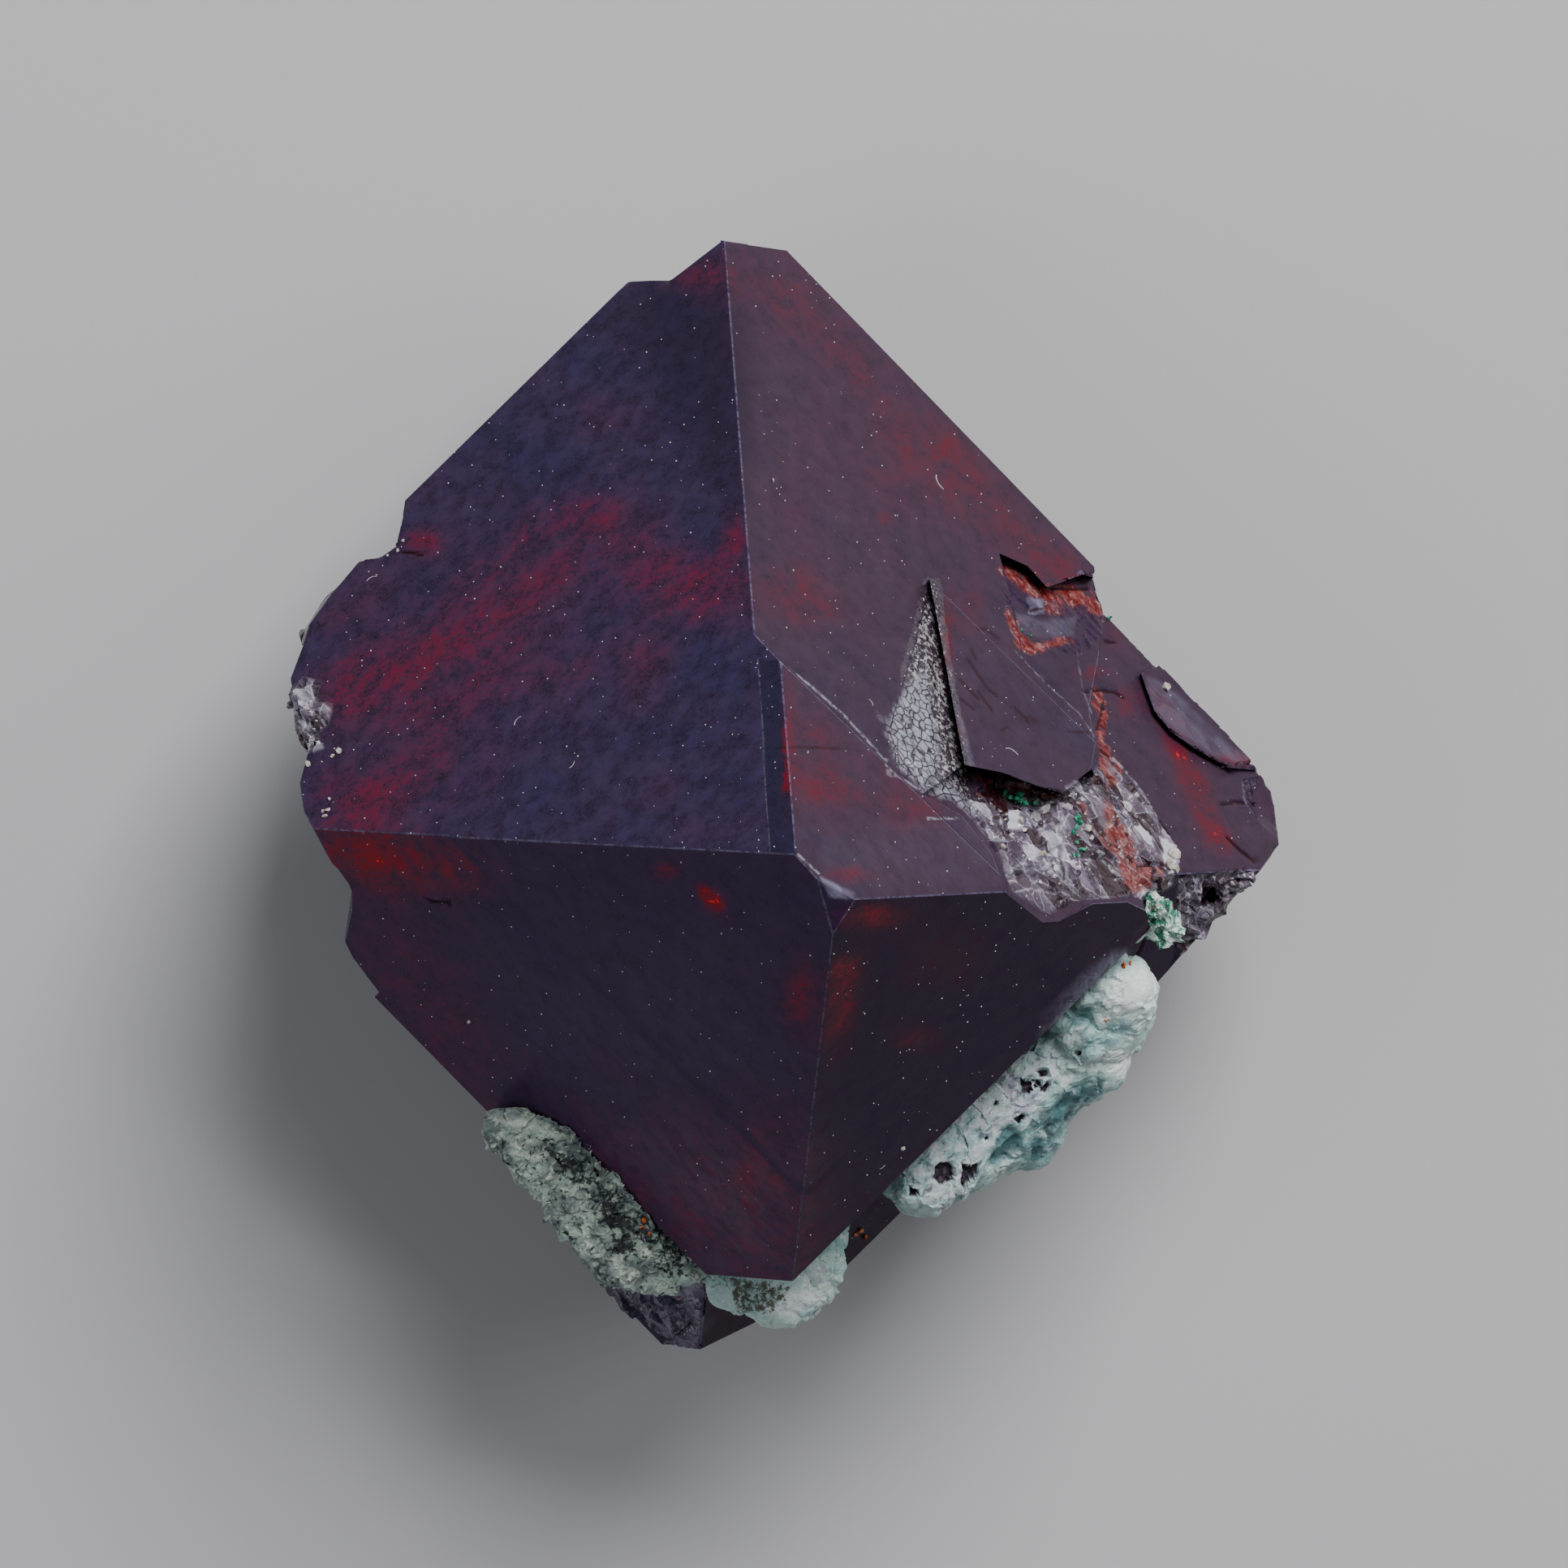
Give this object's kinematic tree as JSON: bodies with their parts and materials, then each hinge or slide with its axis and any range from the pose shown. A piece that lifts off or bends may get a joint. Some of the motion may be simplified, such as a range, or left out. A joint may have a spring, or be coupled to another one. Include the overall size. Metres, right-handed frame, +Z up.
{
  "type": "cuprite specimen",
  "caption": "Sharp octahedral cuprite crystals grown together, lying on the flat back, with pale blue-green chrysocolla crusts and a patch of malachite.",
  "frame": {"origin": "middle of the specimen's box at the level of the flat contact face it lies on", "axes": "+Z up, out through the front corner of the large crystal; +Y to its upper tip; +X to the small crystal at the side"},
  "size_m": [0.0314, 0.035, 0.0277],
  "materials": {
    "cuprite": "adamantine to sub-metallic, dark violet-blue with red shining through",
    "chrysocolla": "waxy, lumpy, pale blue-green",
    "dark_chrysocolla": "dull, mottled dark green and pale mint",
    "malachite": "silky green"
  },
  "bodies": {
    "root": {"cuprite_crystals": "cuprite", "chrysocolla_right_crust": "chrysocolla", "chrysocolla_bottom_crust": "chrysocolla", "chrysocolla_left_crust": "dark_chrysocolla", "malachite_patch": "malachite"}
  },
  "joints": []
}
